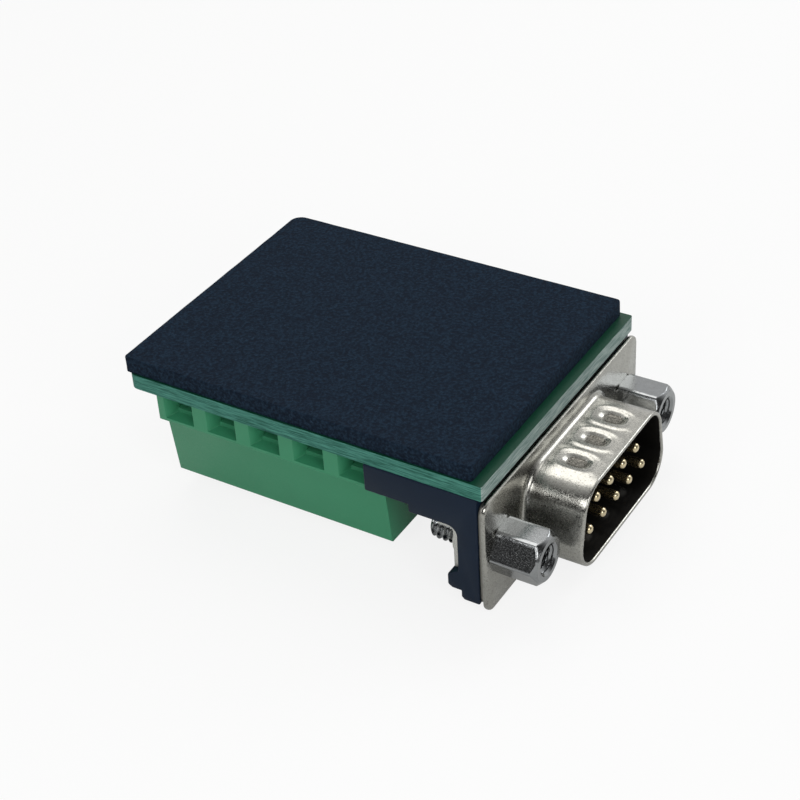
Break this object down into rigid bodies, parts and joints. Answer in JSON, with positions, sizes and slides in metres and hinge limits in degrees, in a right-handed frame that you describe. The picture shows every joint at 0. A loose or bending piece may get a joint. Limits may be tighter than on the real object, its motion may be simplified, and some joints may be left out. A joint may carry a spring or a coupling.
{
  "type": "d-sub terminal block adapter",
  "caption": "Small circuit board with a right-angle D-shaped plug at one end, a screw terminal block along each side and a foam pad over its solder side.",
  "frame": {"origin": "centre of the plug flange's front face", "axes": "+X out of the plug, the way the mating socket leaves; +Y to the far side; +Z away from the terminals, towards the foam pad"},
  "size_m": [0.0458, 0.031, 0.0162],
  "materials": {
    "foam": "fine closed-cell foam, matt",
    "board": "glass-fibre board under green lacquer",
    "terminal_green": "moulded, satin",
    "nickel": "nickel-plated drawn steel",
    "tin_plate": "tin-plated steel",
    "insulator": "moulded, black",
    "bracket": "moulded, blue-black",
    "clip_metal": "tin-plated spring strip",
    "socket_metal": "nickel-plated turned steel",
    "screw_steel": "zinc-plated steel",
    "cage_metal": "nickel-plated brass",
    "contact_metal": "tin-plated brass",
    "pin_metal": "gold-flashed brass"
  },
  "bodies": {
    "adapter": {"foam_pad": "foam", "circuit_board": "board", "terminal_housing_near": "terminal_green", "terminal_housing_far": "terminal_green", "terminal_contact_1": "contact_metal", "terminal_contact_2": "contact_metal", "terminal_contact_3": "contact_metal", "terminal_contact_4": "contact_metal", "terminal_contact_5": "contact_metal", "terminal_contact_6": "contact_metal", "terminal_contact_7": "contact_metal", "terminal_contact_8": "contact_metal", "terminal_contact_9": "contact_metal", "terminal_contact_10": "contact_metal", "front_shell": "nickel", "rear_shell": "tin_plate", "front_insulator": "insulator", "rear_insulator": "insulator", "plug_pin_1": "pin_metal", "plug_pin_2": "pin_metal", "plug_pin_3": "pin_metal", "plug_pin_4": "pin_metal", "plug_pin_5": "pin_metal", "plug_pin_6": "pin_metal", "plug_pin_7": "pin_metal", "plug_pin_8": "pin_metal", "plug_pin_9": "pin_metal", "bracket_near": "bracket", "bracket_far": "bracket", "ground_clip_near": "clip_metal", "ground_clip_far": "clip_metal", "jack_socket_near": "socket_metal", "jack_socket_far": "socket_metal"},
    "screw_1": {"terminal_screw_1": "screw_steel"},
    "cage_1": {"clamp_cage_1": "cage_metal"},
    "screw_2": {"terminal_screw_2": "screw_steel"},
    "cage_2": {"clamp_cage_2": "cage_metal"},
    "screw_3": {"terminal_screw_3": "screw_steel"},
    "cage_3": {"clamp_cage_3": "cage_metal"},
    "screw_4": {"terminal_screw_4": "screw_steel"},
    "cage_4": {"clamp_cage_4": "cage_metal"},
    "screw_5": {"terminal_screw_5": "screw_steel"},
    "cage_5": {"clamp_cage_5": "cage_metal"},
    "screw_6": {"terminal_screw_6": "screw_steel"},
    "cage_6": {"clamp_cage_6": "cage_metal"},
    "screw_7": {"terminal_screw_7": "screw_steel"},
    "cage_7": {"clamp_cage_7": "cage_metal"},
    "screw_8": {"terminal_screw_8": "screw_steel"},
    "cage_8": {"clamp_cage_8": "cage_metal"},
    "screw_9": {"terminal_screw_9": "screw_steel"},
    "cage_9": {"clamp_cage_9": "cage_metal"},
    "screw_10": {"terminal_screw_10": "screw_steel"},
    "cage_10": {"clamp_cage_10": "cage_metal"}
  },
  "joints": [
    {"name": "screw_1_turn", "type": "hinge", "parent": "adapter", "child": "screw_1", "pos_m": [-0.01445, -0.0097, -0.0024], "axis": [0, 0, 1], "range_deg": [0, 1801]},
    {"name": "cage_1_lift", "type": "slide", "parent": "adapter", "child": "cage_1", "axis": [0, 0, -1], "range_m": [0, 0.00225]},
    {"name": "screw_2_turn", "type": "hinge", "parent": "adapter", "child": "screw_2", "pos_m": [-0.01945, -0.0097, -0.0024], "axis": [0, 0, 1], "range_deg": [0, 1801]},
    {"name": "cage_2_lift", "type": "slide", "parent": "adapter", "child": "cage_2", "axis": [0, 0, -1], "range_m": [0, 0.00225]},
    {"name": "screw_3_turn", "type": "hinge", "parent": "adapter", "child": "screw_3", "pos_m": [-0.02445, -0.0097, -0.0024], "axis": [0, 0, 1], "range_deg": [0, 1801]},
    {"name": "cage_3_lift", "type": "slide", "parent": "adapter", "child": "cage_3", "axis": [0, 0, -1], "range_m": [0, 0.00225]},
    {"name": "screw_4_turn", "type": "hinge", "parent": "adapter", "child": "screw_4", "pos_m": [-0.02945, -0.0097, -0.0024], "axis": [0, 0, 1], "range_deg": [0, 1801]},
    {"name": "cage_4_lift", "type": "slide", "parent": "adapter", "child": "cage_4", "axis": [0, 0, -1], "range_m": [0, 0.00225]},
    {"name": "screw_5_turn", "type": "hinge", "parent": "adapter", "child": "screw_5", "pos_m": [-0.03445, -0.0097, -0.0024], "axis": [0, 0, 1], "range_deg": [0, 1801]},
    {"name": "cage_5_lift", "type": "slide", "parent": "adapter", "child": "cage_5", "axis": [0, 0, -1], "range_m": [0, 0.00225]},
    {"name": "screw_6_turn", "type": "hinge", "parent": "adapter", "child": "screw_6", "pos_m": [-0.03445, 0.0097, -0.0024], "axis": [0, 0, 1], "range_deg": [0, 1801]},
    {"name": "cage_6_lift", "type": "slide", "parent": "adapter", "child": "cage_6", "axis": [0, 0, -1], "range_m": [0, 0.00225]},
    {"name": "screw_7_turn", "type": "hinge", "parent": "adapter", "child": "screw_7", "pos_m": [-0.02945, 0.0097, -0.0024], "axis": [0, 0, 1], "range_deg": [0, 1801]},
    {"name": "cage_7_lift", "type": "slide", "parent": "adapter", "child": "cage_7", "axis": [0, 0, -1], "range_m": [0, 0.00225]},
    {"name": "screw_8_turn", "type": "hinge", "parent": "adapter", "child": "screw_8", "pos_m": [-0.02445, 0.0097, -0.0024], "axis": [0, 0, 1], "range_deg": [0, 1801]},
    {"name": "cage_8_lift", "type": "slide", "parent": "adapter", "child": "cage_8", "axis": [0, 0, -1], "range_m": [0, 0.00225]},
    {"name": "screw_9_turn", "type": "hinge", "parent": "adapter", "child": "screw_9", "pos_m": [-0.01945, 0.0097, -0.0024], "axis": [0, 0, 1], "range_deg": [0, 1801]},
    {"name": "cage_9_lift", "type": "slide", "parent": "adapter", "child": "cage_9", "axis": [0, 0, -1], "range_m": [0, 0.00225]},
    {"name": "screw_10_turn", "type": "hinge", "parent": "adapter", "child": "screw_10", "pos_m": [-0.01445, 0.0097, -0.0024], "axis": [0, 0, 1], "range_deg": [0, 1801]},
    {"name": "cage_10_lift", "type": "slide", "parent": "adapter", "child": "cage_10", "axis": [0, 0, -1], "range_m": [0, 0.00225]}
  ],
  "couplings": [
    {"joint": "screw_1_turn", "follows": "cage_1_lift", "rad_per_m": 13963},
    {"joint": "screw_2_turn", "follows": "cage_2_lift", "rad_per_m": 13963},
    {"joint": "screw_3_turn", "follows": "cage_3_lift", "rad_per_m": 13963},
    {"joint": "screw_4_turn", "follows": "cage_4_lift", "rad_per_m": 13963},
    {"joint": "screw_5_turn", "follows": "cage_5_lift", "rad_per_m": 13963},
    {"joint": "screw_6_turn", "follows": "cage_6_lift", "rad_per_m": 13963},
    {"joint": "screw_7_turn", "follows": "cage_7_lift", "rad_per_m": 13963},
    {"joint": "screw_8_turn", "follows": "cage_8_lift", "rad_per_m": 13963},
    {"joint": "screw_9_turn", "follows": "cage_9_lift", "rad_per_m": 13963},
    {"joint": "screw_10_turn", "follows": "cage_10_lift", "rad_per_m": 13963}
  ]
}
